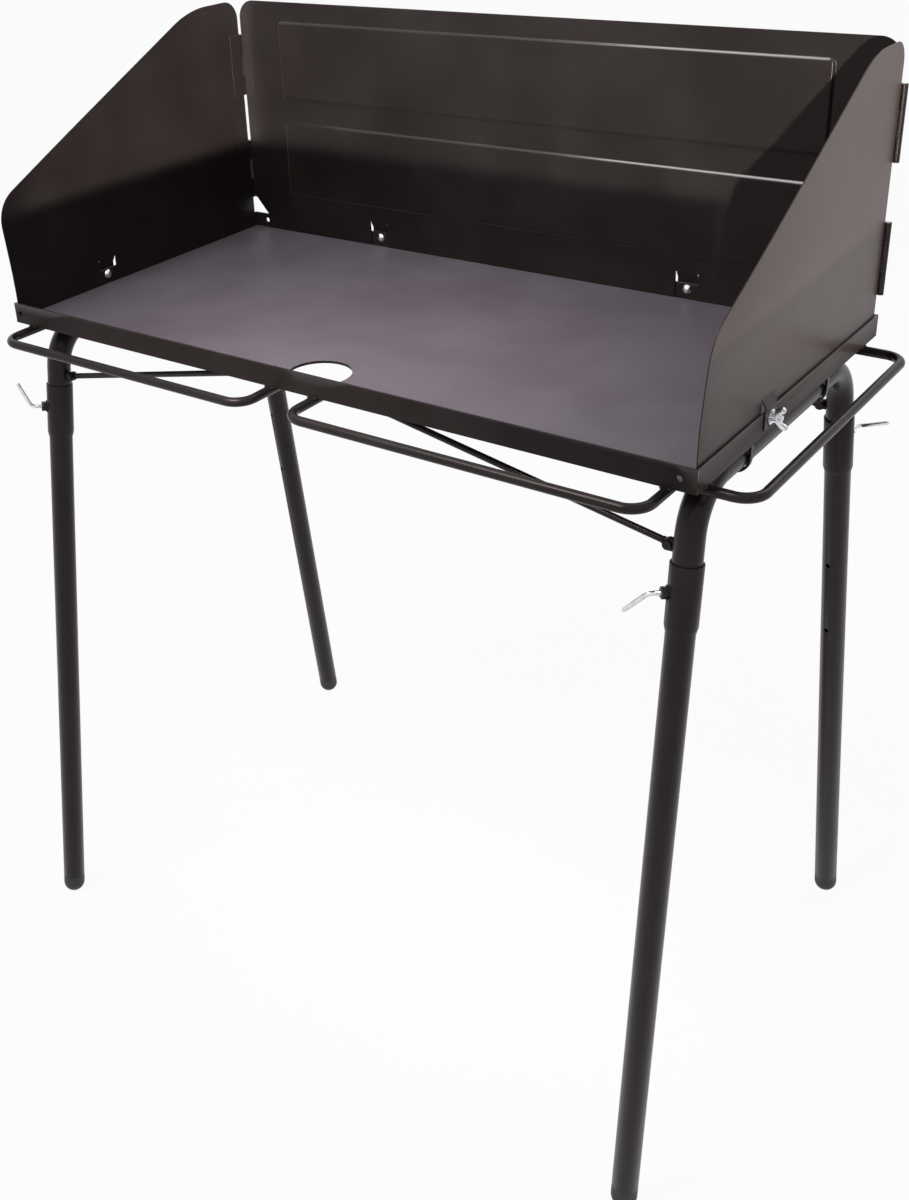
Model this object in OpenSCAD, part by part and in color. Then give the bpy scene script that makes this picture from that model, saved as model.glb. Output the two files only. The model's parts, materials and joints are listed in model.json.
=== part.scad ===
// Folding cook table for dutch ovens: steel tray, windscreen, leg frames, lower legs, tool racks.
// Millimetres. X runs along the tray, Y points to the back, Z is up, the floor is Z = 0.

/* [Tray] */
// Outer length of the rail frame
tray_l = 824; // [700:1:1000]
// Outer depth of the rail frame
tray_w = 411; // [340:1:520]
// Height of the rail tops above the floor
rail_top = 800; // [650:1:950]
// Height of a rail
rail_h = 22.5; // [20:0.5:32]
// Sheet thickness of a rail
rail_t = 2; // [1.5:0.1:3]
// Width of the rail's inward flange
rail_flange = 20; // [16:0.5:25]
// Thickness of the cook plate
plate_t = 3; // [2:0.1:4]
// Gap between the plate's edge and a rail
plate_gap = 0.4; // [0.2:0.05:1]
// Radius of the hand hole in the plate
hand_r = 32.5; // [25:0.5:40]
// Hand hole's centre, from the plate's middle along X
hand_x = -9.5; // [-60:0.5:60]
// Hand hole's centre, from the front rail's outer face
hand_in = 43; // [36:0.5:70]
// Radius of the tie holes near the rail ends
tie_r = 3; // [2:0.1:4]
// Front tie hole from the tray's left end
tie_left = 8; // [7:0.5:30]
// Front tie hole from the tray's right end
tie_right = 16; // [7:0.5:30]
// Rear tie holes from the tray's ends
tie_rear = 21; // [8:0.5:40]
// Front tie holes' depth below the rail top
tie_drop = 11.5; // [8:0.5:12]
// Rear tie holes' depth below the rail top
tie_rear_drop = 8.5; // [7:0.5:12]

/* [Windscreen] */
// Sheet thickness of the panels
panel_t = 1; // [0.8:0.1:1.6]
// Gap between a panel and its rail
panel_gap = 0.3; // [0.2:0.05:0.6]
// Height of the panels above the rail tops
panel_rise = 266.5; // [200:0.5:330]
// Gap between the side panels' rear edges and the hinge knuckles
corner_gap = 2; // [0.5:0.1:6]
// Gap between the back panel's ends and the hinge knuckles
back_inset = 0.4; // [0.3:0.1:4]
// Distance of the side panels' front edges from the front rail's outer face
front_inset = 3; // [2.5:0.5:12]
// Height above the rail where the slope would meet the front edge
nose_h = 109; // [80:1:150]
// Angle of the sloped edge
slope_deg = 26.2; // [20:0.1:35]
// Radius of the nose
nose_r = 40; // [15:1:60]
// Radius where the slope meets the top edge
brow_r = 130; // [60:5:180]
// Radius of the rear top corners
top_r = 22; // [10:1:40]
// Width of the notch at the side panels' lower rear corners
heel_w = 9; // [5:0.5:12]
// Height of that notch
heel_h = 15; // [13:0.5:17]
// Width of the relief at the back panel's lower corners
relief_w = 21; // [15:0.5:30]
// Height of the relief above the rail tops
relief_h = 24; // [15:0.5:26]
// Height of an embossed field of the back panel
field_h = 94; // [60:1:110]
// Distance of a field's ends from the panel's ends
field_end = 61; // [45:1:120]
// Distance of the upper field from the panel's top
field_top = 22; // [15:1:40]
// Flat band between the two fields
field_band = 26; // [15:1:40]
// Depth of the embossing
field_rise = 2.2; // [1:0.1:3]
// Width of a field's sloped border
field_edge = 4; // [3:0.5:8]

/* [Tabs and wing nuts] */
// Width of a tab
tab_w = 24; // [20:0.5:32]
// Height of a slit above the rail top
tab_slit = 12; // [10:0.5:16]
// Width of each slit beside a tab
slit_w = 1.2; // [0.8:0.1:2]
// Centre of the side panels' tabs, from the front rail's outer face
tab_side = 141; // [90:1:220]
// Distance of the back panel's tabs from the middle
tab_back = 206; // [120:1:300]
// Room between tab, rail and washer
tab_gap = 0.2; // [0.1:0.05:0.4]
// Radius of the tab bolts
bolt_r = 3; // [2.5:0.1:3.5]
// Bolt centres below the rail top
bolt_drop = 7; // [6.5:0.1:9]
// Radius of a bolt's dome head
bolt_head_r = 5.5; // [5:0.1:6.2]
// Height of a bolt's dome head
bolt_head_h = 3.2; // [2.5:0.1:4]
// Room round the bolt in its slot and holes
bolt_gap = 0.3; // [0.2:0.05:0.5]
// Radius of a washer
washer_r = 7; // [6:0.1:8]
// Thickness of a washer
washer_t = 1.2; // [0.8:0.1:2]
// Running clearance of a wing nut and of a thumbscrew
thread_gap = 0.06; // [0.03:0.01:0.09]
// Radius of a wing nut's body
wing_body_r = 5.2; // [4.6:0.1:6]
// Height of a wing nut's body
wing_body_h = 6; // [5:0.1:8]
// Reach of the wings from the bolt's axis
wing_reach = 13; // [11:0.5:15]
// Height of the wing tips
wing_h = 13; // [10:0.5:16]
// Thickness of a wing
wing_t = 2.2; // [1.6:0.1:3]
// Turn of the wing nuts at rest
wing_turn = 20; // [0:1:90]

/* [Hinges] */
// Height of a hinge
hinge_h = 73; // [50:1:90]
// Lower hinge's bottom above the rail tops
hinge_low = 21; // [15:1:40]
// Upper hinge's bottom above the rail tops
hinge_high = 152; // [125:1:170]
// Reach of a leaf from the corner
leaf_w = 18; // [14:0.5:26]
// Thickness of a leaf
leaf_t = 1; // [0.8:0.1:1.5]
// Radius of the knuckles
knuckle_r = 3.4; // [2.8:0.1:4]
// Radius of a hinge pin
pin_r = 1.6; // [1.2:0.1:2]
// Running clearance of a hinge pin
pin_gap = 0.05; // [0.02:0.01:0.09]
// Gap between neighbouring knuckles
knuckle_gap = 0.3; // [0.1:0.05:0.6]

/* [Leg frames] */
// Outer diameter of the leg tubes
leg_od = 26.7; // [22:0.1:30]
// Wall of the leg tubes
leg_wall = 1.4; // [1:0.1:2]
// Distance of a hinge tube's axis from the tray's end
frame_in = 19.5; // [19:0.5:60]
// Gap between the rail's underside and a hinge tube
tube_drop = 3; // [1:0.1:8]
// Distance of a leg at the hinge axis from the rail's outer face
leg_in = 39.5; // [31:0.5:60]
// Spread of the legs to front and back
splay_deg = 8.15; // [4:0.05:11]
// Lean of the legs out to the ends
lean_deg = 1.3; // [0.5:0.05:3]
// Radius of a frame's bends, on the tube's axis
bend_r = 50; // [42:1:60]
// Draw-in of a tube or rod where it is bent
bend_thin = 0.05; // [0.03:0.01:0.1]
// Half the distance between a frame's saddles
saddle_y = 88; // [50:1:95]
// Length of a saddle
saddle_l = 5; // [4:0.5:30]
// Thickness of a saddle
saddle_t = 2.5; // [2:0.1:3.5]
// Running clearance of the hinge tubes in the saddles
saddle_gap = 0.3; // [0.2:0.05:0.5]

/* [Lower legs] */
// Start of the socket, along the leg from the hinge axis
socket_at = 66; // [62:1:90]
// Length of the socket
socket_l = 58; // [45:1:70]
// Clearance between stub and socket
socket_gap = 0.3; // [0.2:0.05:0.5]
// Length of the socket's tapered shoulder
shoulder_l = 7; // [5:0.5:12]
// Thumbscrew's distance from the socket's top
screw_at = 27; // [15:1:32]
// Upper brace hole, along the leg from the hinge axis
brace_a = 248; // [200:1:290]
// Lower brace hole, along the leg from the hinge axis
brace_b = 338; // [310:1:420]
// Radius of the brace holes
brace_r = 2.6; // [2:0.1:3.5]
// Turn of the front left lower leg in its socket
turn_fl = -38; // [-90:1:90]
// Turn of the front right lower leg
turn_fr = -45; // [-90:1:90]
// Turn of the rear left lower leg
turn_rl = -18; // [-90:1:90]
// Turn of the rear right lower leg
turn_rr = -13; // [-90:1:90]
// Radius of a foot's flat
foot_flat = 8; // [5:0.5:10]
// Height of a foot's band above its dome
foot_band = 12; // [6:0.5:25]
// Depth of a foot's spigot in the leg
foot_spigot = 20; // [10:1:30]
// Clearance of the spigot
spigot_gap = 0.1; // [0.05:0.05:0.3]

/* [Thumbscrews] */
// Radius of a thumbscrew's rod
screw_r = 2.2; // [1.8:0.1:2.8]
// Gap between the screw's tip and the stub
tip_gap = 0.3; // [0.2:0.05:0.6]
// Width of the welded nut across its corners
nut_w = 11.4; // [10:0.1:14]
// Height of the welded nut over the socket
nut_h = 6; // [4:0.1:8]
// Straight length between nut and bend
screw_neck = 6; // [3:0.5:15]
// Radius of the bend, on the rod's axis
screw_bend = 9; // [6:0.5:14]
// Angle of the bend
screw_deg = 62; // [45:1:90]
// Length of the lever after the bend
screw_lever = 25; // [15:1:40]

/* [Stays] */
// Diameter of the stay rods
stay_d = 6.4; // [5:0.1:7]
// Pivot's drop below the hinge axis
pivot_drop = 53.5; // [48:0.5:56]
// Room between a stay's eye and the leg
pivot_gap = 0.6; // [0.4:0.1:1.5]
// Radius of the pivot rivets
rivet_r = 2.4; // [1.8:0.1:3]
// Radius of the stay's eyes and of the lugs
eye_r = 5.2; // [4.8:0.1:5.6]
// Thickness of an eye
eye_t = 3.2; // [2.5:0.1:4]
// Length of the flat neck between an eye and the round rod
stay_neck = 1.5; // [1:0.1:4]
// Thickness of a lug
lug_t = 3; // [2:0.1:4]
// Room between lug, eye and rivet head
eye_gap = 0.3; // [0.2:0.05:0.5]
// Running clearance of a rivet in an eye
rivet_gap = 0.06; // [0.03:0.01:0.09]
// Height of a rivet's head
rivet_head = 1.8; // [1.2:0.1:3]
// Left stay's catch, from the tray's middle
catch_left = -96; // [-160:1:-70]
// Right stay's catch, from the tray's middle
catch_right = 45; // [20:1:120]
// Catches' drop below the plate
catch_drop = 11.5; // [10:0.5:16]
// Radius of a stay's corner bends, on the rod's axis
stay_bend = 16; // [10:1:24]
// Half the distance between a stay's guides
guide_y = 60; // [30:1:110]
// Thickness of a guide
guide_t = 3; // [2:0.1:4]
// Width of a guide's weld flange
guide_flange = 16; // [10:1:24]
// Metal round a guide's slot
guide_rim = 6; // [4:0.5:8]
// Room round the stay in its slot
slot_gap = 0.6; // [0.4:0.05:1.2]
// Fold of the left leg frame
fold_left = 83; // [60:1:83]
// Fold of the right leg frame
fold_right = 75; // [55:1:75]

/* [Tool racks] */
// Diameter of the rack rods
rack_d = 9.5; // [6:0.1:12]
// Reach of the racks past the rails
rack_reach = 46; // [30:1:60]
// Radius of the rack bends, on the rod's axis
rack_bend = 20; // [12:1:28]
// Length of the rod ends under the rails
rack_tail = 20; // [12:1:20]
// Left front rack's left arm, from the tray's left end
rack_left_in = 25; // [16:0.5:100]
// Left front rack's right arm, from the tray's middle
rack_a1 = -40; // [-140:1:-26]
// Right front rack's left arm, from the tray's middle
rack_b0 = 14; // [6:1:120]
// Right front rack's right arm, from the tray's right end
rack_right_in = 28; // [16:0.5:100]
// Side rack's front arm, from the front rail's outer face
rack_front_in = 22.5; // [22.5:0.5:100]
// Side rack's rear arm, from the rear rail's outer face
rack_rear_in = 33.5; // [22.5:0.5:100]

/* [Hidden] */
$fn = 64;

// Overlap of a straight run with its bend
bend_lap = 0.3;

// Levels of the tray
rail_low = rail_top - rail_h;
plate_low = rail_low + rail_t;
plate_top = plate_low + plate_t;
rack_z = rail_low - rack_d / 2;
hinge_z = rail_low - tube_drop - leg_od / 2;
half_l = tray_l / 2;
half_w = tray_w / 2;
frame_x = half_l - frame_in;
leg_top_y = half_w - leg_in;
rack_a0 = -half_l + rack_left_in;
rack_b1 = half_l - rack_right_in;
rack_c0 = -half_w + rack_front_in;
rack_c1 = half_w - rack_rear_in;

// Faces of the windscreen
side_out = half_l - rail_t - panel_gap;
side_in = side_out - panel_t;
back_out = half_w - rail_t - panel_gap;
back_in = back_out - panel_t;
hinge_ax = side_in + knuckle_r - leaf_t;
hinge_ay = back_in + knuckle_r - leaf_t;
side_rear = hinge_ay - knuckle_r - corner_gap;
side_front = -half_w + front_inset;
back_half = hinge_ax - knuckle_r - back_inset;
panel_top = rail_top + panel_rise;
bolt_z = rail_top - bolt_drop;
tab_y = -half_w + tab_side;

// Legs and frames
stub_end = socket_at + socket_l - 1;
bend_tan = bend_r * tan((90 - splay_deg) / 2);
tube_half = leg_top_y - bend_tan;
socket_ir = leg_od / 2 + socket_gap;
socket_or = socket_ir + leg_wall;
foot_c = sqrt(pow(leg_od / 2, 2) - pow(foot_flat, 2));
foot_at = (hinge_z - foot_c) / (cos(splay_deg) * cos(lean_deg));
leg_end = foot_at - foot_band;

// Stays: pivot in the frame's own plane, then turned by the lean about the hinge axis
pivot_y = leg_top_y + pivot_drop * tan(splay_deg);
pivot_out = leg_od / 2 + eye_r + pivot_gap;
arm_y = pivot_y - lug_t / 2 - eye_gap - eye_t / 2;
catch_z = plate_low - catch_drop;
function pivot_dx(t) = pivot_out * cos(t - lean_deg) + pivot_drop * sin(t - lean_deg);
function pivot_dz(t) = pivot_out * sin(t - lean_deg) - pivot_drop * cos(t - lean_deg);
function run_x(left) = left ? frame_x + catch_left - pivot_dx(0) : frame_x - catch_right - pivot_dx(0);
rise_z = catch_z - hinge_z - pivot_dz(0);
function stay_len(left) = sqrt(pow(run_x(left), 2) + pow(rise_z, 2));
function stay_rest(left) = atan2(rise_z, run_x(left));
function fold_max(left) = left ? fold_left : fold_right;
function stay_end_deg(left) =
  asin((catch_z - hinge_z - pivot_dz(fold_max(left))) / stay_len(left));
function stay_deg(left, t) =
  stay_rest(left) + (stay_end_deg(left) - stay_rest(left)) * t / fold_max(left);
function end_x(left, t) = pivot_dx(t) + stay_len(left) * cos(stay_deg(left, t));
function end_z(left, t) = hinge_z + pivot_dz(t) + stay_len(left) * sin(stay_deg(left, t));
function steps(left) = [for (i = [0:40]) fold_max(left) * i / 40];
function slot_lo_x(left) = min([for (t = steps(left)) end_x(left, t)]);
function slot_hi_x(left) = max([for (t = steps(left)) end_x(left, t)]);
function slot_lo_z(left) = min([for (t = steps(left)) end_z(left, t)]);
function slot_hi_z(left) = max([for (t = steps(left)) end_z(left, t)]);
slot_r = stay_d / 2 + slot_gap;

// Wing nuts, measured out from the rail's outer face
washer_at = 2 * tab_gap + panel_t;
wing_at = washer_at + washer_t + tab_gap;
wing_tip = wing_at + wing_h;

// The part's box, which sets the frame's origin
foot_x = frame_x + foot_at * cos(splay_deg) * sin(lean_deg) + leg_od / 2;
box_left = -max(half_l + wing_tip, foot_x);
box_right = max(half_l + rack_reach, half_l + wing_tip);
mid_x = (box_left + box_right) / 2;

black = "#2b2828";
grey = "#5a5358";
zinc = "#c9ccd0";

module on_frame(sx) translate([sx * frame_x, 0, hinge_z]) rotate([0, -sx * lean_deg, 0]) children();
module on_leg(sx, sy) on_frame(sx) translate([0, sy * leg_top_y, 0])
  rotate([sy * splay_deg, 0, 0]) children();
function leg_turn(sx, sy) = sy < 0 ? (sx < 0 ? turn_fl : turn_fr) : (sx < 0 ? turn_rl : turn_rr);
module on_lower(sx, sy) on_leg(sx, sy) rotate([0, 0, leg_turn(sx, sy)]) children();
module bar_y(len, r) rotate([90, 0, 0]) cylinder(h = len, r = r, center = true);
module bar_x(len, r) rotate([0, 90, 0]) cylinder(h = len, r = r, center = true);
module elbow(big, r, deg) rotate_extrude(angle = deg) translate([big, 0]) circle(r);

// A rounded convex corner: the outline's sharp corner is replaced by a circle of the same tangents
module round_corner(p, a, b, r) {
  ua = (a - p) / norm(a - p);
  ub = (b - p) / norm(b - p);
  half = acos(ua * ub) / 2;
  t = r / tan(half);
  c = p + (ua + ub) / norm(ua + ub) * r / sin(half);
  difference() {
    polygon([p, p + ua * t, c, p + ub * t]);
    circle_sector_gap(c, r);
  }
}
module circle_sector_gap(c, r) translate(c) circle(r, $fn = 128);

// Tray
module l_section() polygon([[0, 0], [rail_flange, 0], [rail_flange, rail_t], [rail_t, rail_t],
  [rail_t, rail_h], [0, rail_h]]);
module long_rail() translate([-half_l, -half_w, rail_low]) rotate([90, 0, 90])
  linear_extrude(tray_l) l_section();
module tie_hole(x, y, drop) translate([x, y, rail_top - drop]) bar_y(4 * rail_t, tie_r);
module bolt_hole(x, y, turn) translate([x, y, bolt_z]) rotate([0, 0, turn])
  bar_x(4 * rail_t, bolt_r + bolt_gap);
module hand_cut(extra) translate([hand_x, -half_w + hand_in, rail_low - 1])
  cylinder(h = rail_h, r = hand_r + extra);
module plate() color(grey) difference() {
  translate([-half_l + rail_t + plate_gap, -half_w + rail_t + plate_gap, plate_low])
    cube([tray_l - 2 * (rail_t + plate_gap), tray_w - 2 * (rail_t + plate_gap), plate_t]);
  hand_cut(0);
}
module rail_front() color(black) difference() {
  long_rail();
  tie_hole(-half_l + tie_left, -half_w + rail_t / 2, tie_drop);
  tie_hole(half_l - tie_right, -half_w + rail_t / 2, tie_drop);
  hand_cut(1);
}
module rail_rear() color(black) difference() {
  mirror([0, 1, 0]) long_rail();
  for (s = [-1, 1]) tie_hole(s * (half_l - tie_rear), half_w - rail_t / 2, tie_rear_drop);
  for (s = [-1, 1]) bolt_hole(s * tab_back, half_w - rail_t / 2, 90);
}
module side_rail() difference() {
  union() {
    translate([half_l - rail_t, -half_w + rail_t, plate_low])
      cube([rail_t, tray_w - 2 * rail_t, rail_h - rail_t]);
    translate([half_l - rail_t, -half_w + rail_flange, rail_low])
      cube([rail_t, tray_w - 2 * rail_flange, rail_h]);
    translate([half_l - rail_flange, -half_w + rail_flange, rail_low])
      cube([rail_flange, tray_w - 2 * rail_flange, rail_t]);
  }
  bolt_hole(half_l - rail_t / 2, tab_y, 0);
}
module rail_left() color(black) mirror([1, 0, 0]) side_rail();
module rail_right() color(black) side_rail();

// Tool racks: a rod bent to a flat U, drawn from its two arms outwards along +Y
module u_rod(x0, x1) {
  out = rack_reach - rack_d / 2;
  arm = out - rack_bend + bend_lap;
  for (x = [x0, x1]) translate([x, (arm - rack_tail) / 2, 0]) bar_y(arm + rack_tail, rack_d / 2);
  translate([(x0 + x1) / 2, out, 0]) bar_x(x1 - x0 - 2 * (rack_bend - bend_lap), rack_d / 2);
  translate([x0 + rack_bend, out - rack_bend, 0]) rotate([0, 0, 90])
    elbow(rack_bend, rack_d / 2 - bend_thin, 90);
  translate([x1 - rack_bend, out - rack_bend, 0]) elbow(rack_bend, rack_d / 2 - bend_thin, 90);
}
module front_rack(x0, x1) color(black) translate([0, -half_w, rack_z]) mirror([0, 1, 0]) u_rod(x0, x1);
module rack_front_left() front_rack(rack_a0, rack_a1);
module rack_front_right() front_rack(rack_b0, rack_b1);
module rack_side() color(black) translate([half_l, 0, rack_z]) rotate([0, 0, -90])
  u_rod(-rack_c1, -rack_c0);

// Saddles that carry a hinge tube: a strap round the tube, welded to the rail's flange and to the plate
module saddle_profile() {
  ri = leg_od / 2 + saddle_gap;
  ro = ri + saddle_t;
  difference() {
    union() {
      circle(ro);
      translate([-ro, 0]) square([saddle_t, plate_low - hinge_z]);
      translate([ri, 0]) square([saddle_t, rail_low - hinge_z]);
    }
    circle(ri);
    translate([-ri, 0]) square([2 * ri, ro + 1]);
  }
}
module saddles(sx) color(black) for (s = [-1, 1])
  translate([sx * frame_x, s * saddle_y, hinge_z])
    mirror([sx < 0 ? 1 : 0, 0, 0]) rotate([90, 0, 0]) linear_extrude(saddle_l, center = true) saddle_profile();

// Leg frames: the tube is drawn in a little where it is bent
module u_path(r, open) {
  bar_y(2 * (tube_half + bend_lap), r);
  for (m = [0, 1]) mirror([0, m, 0]) {
    translate([0, tube_half, -bend_r]) rotate([90, 0, 90]) rotate([0, 0, splay_deg])
      elbow(bend_r, r - bend_thin, 90 - splay_deg);
    translate([0, leg_top_y, 0]) rotate([splay_deg, 0, 0])
      translate([0, 0, -stub_end - open]) cylinder(h = stub_end + open - bend_tan + bend_lap, r = r);
  }
}
// A lug on a stub's inner side, cut back to the middle of the tube's wall
module lug() difference() {
  rotate([90, 0, 0]) linear_extrude(lug_t, center = true) {
    circle(eye_r);
    translate([-pivot_out, -eye_r]) square([pivot_out, 2 * eye_r]);
  }
  translate([-pivot_out, 0, 0]) rotate([splay_deg, 0, 0])
    cylinder(h = 4 * eye_r, r = leg_od / 2 - leg_wall / 2, center = true);
  bar_y(2 * lug_t, rivet_r + rivet_gap);
}
module leg_frame(sx) color(black) on_frame(sx) difference() {
  union() {
    u_path(leg_od / 2, 0);
    for (m = [0, 1]) mirror([0, m, 0]) translate([-sx * pivot_out, pivot_y, -pivot_drop])
      mirror([sx > 0 ? 1 : 0, 0, 0]) lug();
  }
  u_path(leg_od / 2 - leg_wall, 1);
}

// Stays: one rod bent to a U, with an eye at each end; drawn along +X from the pivot axis
module stay_rod(len) {
  neck = eye_r + stay_neck;
  for (s = [-1, 1]) {
    translate([(neck + len - stay_bend) / 2, s * arm_y, 0])
      bar_x(len - stay_bend - neck + 2 * bend_lap, stay_d / 2);
    difference() {
      union() {
        translate([0, s * arm_y, 0]) bar_y(eye_t, eye_r);
        translate([neck / 2, s * arm_y, 0]) cube([neck, eye_t, stay_d], center = true);
      }
      translate([0, s * arm_y, 0]) bar_y(2 * eye_t, rivet_r + rivet_gap);
    }
  }
  translate([len, 0, 0]) bar_y(2 * (arm_y - stay_bend + bend_lap), stay_d / 2);
  for (m = [0, 1]) mirror([0, m, 0]) translate([len - stay_bend, arm_y - stay_bend, 0])
    elbow(stay_bend, stay_d / 2 - bend_thin, 90);
}
module stay(left) color(black) mirror([left ? 0 : 1, 0, 0])
  translate([-frame_x + pivot_dx(0), 0, hinge_z + pivot_dz(0)]) rotate([0, -stay_rest(left), 0])
    stay_rod(stay_len(left));
module stay_rivets(sx) color(black) for (s = [-1, 1]) {
  inner = pivot_y - lug_t / 2 - 2 * eye_gap - eye_t;
  outer = pivot_y + lug_t / 2;
  on_frame(sx) translate([-sx * pivot_out, s * (inner + outer) / 2, -pivot_drop]) {
    bar_y(outer - inner, rivet_r);
    for (e = [-1, 1]) translate([0, e * (outer - inner + rivet_head) / 2, 0])
      bar_y(rivet_head, rivet_r * 1.8);
  }
}

// Guides under the plate: an angle with a slot, in which the stay's cross rod runs as the frame folds
module guide_profile(left) {
  x0 = slot_lo_x(left) - slot_r - guide_rim;
  x1 = slot_hi_x(left) + slot_r + guide_rim;
  z0 = slot_lo_z(left) - slot_r - guide_rim;
  difference() {
    translate([x0, z0]) square([x1 - x0, plate_low - z0]);
    for (x = [slot_lo_x(left), slot_hi_x(left)]) for (z = [slot_lo_z(left), slot_hi_z(left)])
      translate([x, z]) circle(slot_r);
    translate([slot_lo_x(left) - slot_r, slot_lo_z(left)])
      square([slot_hi_x(left) - slot_lo_x(left) + 2 * slot_r, slot_hi_z(left) - slot_lo_z(left)]);
    translate([slot_lo_x(left), slot_lo_z(left) - slot_r])
      square([slot_hi_x(left) - slot_lo_x(left), slot_hi_z(left) - slot_lo_z(left) + 2 * slot_r]);
  }
}
module guides(left) color(black) mirror([left ? 0 : 1, 0, 0]) for (m = [0, 1]) mirror([0, m, 0])
  translate([-frame_x, guide_y, 0]) {
    rotate([90, 0, 0]) linear_extrude(guide_t, center = true) guide_profile(left);
    x0 = slot_lo_x(left) - slot_r - guide_rim;
    x1 = slot_hi_x(left) + slot_r + guide_rim;
    translate([x0, guide_t / 2, plate_low - guide_t]) cube([x1 - x0, guide_flange, guide_t]);
  }

// Lower legs: a tube with a swaged socket at its top
module lower_leg(sx, sy) color(black) on_lower(sx, sy) difference() {
  rotate_extrude() polygon([
    [socket_ir, -socket_at], [socket_or, -socket_at],
    [socket_or, -socket_at - socket_l], [leg_od / 2, -socket_at - socket_l - shoulder_l],
    [leg_od / 2, -leg_end], [leg_od / 2 - leg_wall, -leg_end],
    [leg_od / 2 - leg_wall, -socket_at - socket_l - shoulder_l + 2],
    [leg_od / 2 - leg_wall, -socket_at - socket_l], [socket_ir, -socket_at - socket_l]]);
  for (b = [brace_a, brace_b]) translate([0, -sy * leg_od / 2, -b]) bar_y(leg_od / 2, brace_r);
  translate([0, sy * socket_or, -socket_at - screw_at]) bar_y(leg_od / 2, screw_r + 3 * thread_gap);
}
module leg_nut(sx, sy) color(black) on_lower(sx, sy) difference() {
  translate([0, sy * (socket_or - leg_wall / 2), -socket_at - screw_at]) rotate([-sy * 90, 0, 0])
    cylinder(h = nut_h + leg_wall / 2, r = nut_w / 2, $fn = 6);
  translate([0, 0, -socket_at - socket_l]) cylinder(h = socket_l, r = socket_or);
  translate([0, sy * socket_or, -socket_at - screw_at]) bar_y(4 * nut_h, screw_r + thread_gap);
}
module foot(sx, sy) color("#1c1b1b") difference() {
  on_leg(sx, sy) translate([0, 0, -foot_at]) {
    sphere(leg_od / 2);
    cylinder(h = foot_band, r = leg_od / 2);
    translate([0, 0, foot_band]) cylinder(h = foot_spigot, r = leg_od / 2 - leg_wall - spigot_gap);
  }
  translate([-tray_l, -tray_l, -leg_od]) cube([2 * tray_l, 2 * tray_l, leg_od]);
}
// Thumbscrew along +Y from the stub's face, with its lever bent away; turn sets where the lever points
module thumbscrew(sx, sy, turn) color(zinc) on_lower(sx, sy)
  translate([0, 0, -socket_at - screw_at]) mirror([0, sy < 0 ? 1 : 0, 0]) rotate([0, turn, 0]) {
    y0 = leg_od / 2 + tip_gap;
    y1 = socket_or + nut_h + screw_neck;
    translate([0, (y0 + y1 + bend_lap) / 2, 0]) bar_y(y1 - y0 + bend_lap, screw_r);
    translate([0, y1, screw_bend]) rotate([90, 0, 90]) rotate([0, 0, -90])
      elbow(screw_bend, screw_r - bend_thin, screw_deg);
    translate([0, y1 + screw_bend * sin(screw_deg), screw_bend * (1 - cos(screw_deg))])
      rotate([screw_deg - 90, 0, 0]) {
        translate([0, 0, -bend_lap]) cylinder(h = screw_lever + bend_lap, r = screw_r);
        translate([0, 0, screw_lever]) sphere(screw_r);
      }
  }

// Windscreen
slope_run = (panel_rise - nose_h) / tan(slope_deg);
module side_outline() {
  a = [side_front, plate_top];
  b = [side_front, rail_top + nose_h];
  c = [side_front + slope_run, panel_top];
  d = [side_rear, panel_top];
  e = [side_rear, plate_top];
  difference() {
    polygon([a, b, c, d, e]);
    round_corner(b, a, c, nose_r);
    round_corner(c, b, d, brow_r);
    round_corner(d, c, e, top_r);
    translate([side_rear, plate_top]) square([2 * heel_w, 2 * (heel_h - heel_w)], center = true);
    translate([side_rear, plate_top + heel_h - heel_w]) circle(heel_w);
    tab_notch(tab_y);
  }
}
module tab_notch(x) translate([x - tab_w / 2 - slit_w, plate_top - 1])
  square([tab_w + 2 * slit_w, rail_top + tab_slit - plate_top + 1]);
// A tab lanced from the panel and joggled over the rail: drawn in the (out, up) plane,
// out measured from the rail's outer face, with a tongue at its top that laps into the panel
module tab(width) {
  u1 = -rail_t - panel_gap;
  u0 = u1 - panel_t;
  w0 = tab_gap;
  w1 = w0 + panel_t;
  top = rail_top + tab_slit;
  low = rail_low + rail_h * 0.25;
  difference() {
    rotate([90, 0, 0]) linear_extrude(width, center = true) {
      polygon([[u0, top], [u1, top], [w1, top - 6.5], [w1, low], [w0, low], [w0, top - 7.2], [u0, top - 1.2]]);
      translate([u0 + bend_thin, top - bend_lap]) square([panel_t - 2 * bend_thin, 2 * bend_lap]);
    }
    translate([w0 + panel_t / 2, 0, bolt_z]) bar_x(4 * panel_t, bolt_r + bolt_gap);
    translate([w0 - panel_t, -bolt_r - bolt_gap, low - 1])
      cube([3 * panel_t, 2 * (bolt_r + bolt_gap), bolt_z - low + 1]);
  }
}
module side_panel() {
  translate([side_in, 0, 0]) rotate([90, 0, 90]) linear_extrude(panel_t) side_outline();
  translate([half_l, tab_y, 0]) tab(tab_w);
}
module panel_left() color(black) mirror([1, 0, 0]) side_panel();
module panel_right() color(black) side_panel();
module back_outline() difference() {
  union() {
    translate([-back_half, plate_top]) square([2 * back_half, panel_top - top_r - plate_top]);
    translate([-back_half + top_r, plate_top]) square([2 * (back_half - top_r), panel_top - plate_top]);
    for (s = [-1, 1]) translate([s * (back_half - top_r), panel_top - top_r]) circle(top_r);
  }
  for (s = [-1, 1]) {
    polygon([[s * (back_half + 1), plate_top - 1], [s * (back_half - relief_w), plate_top - 1],
      [s * (back_half - relief_w), rail_top], [s * (back_half + 1), rail_top + relief_h * (1 + 1 / relief_w)]]);
    tab_notch(s * tab_back);
  }
}
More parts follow.
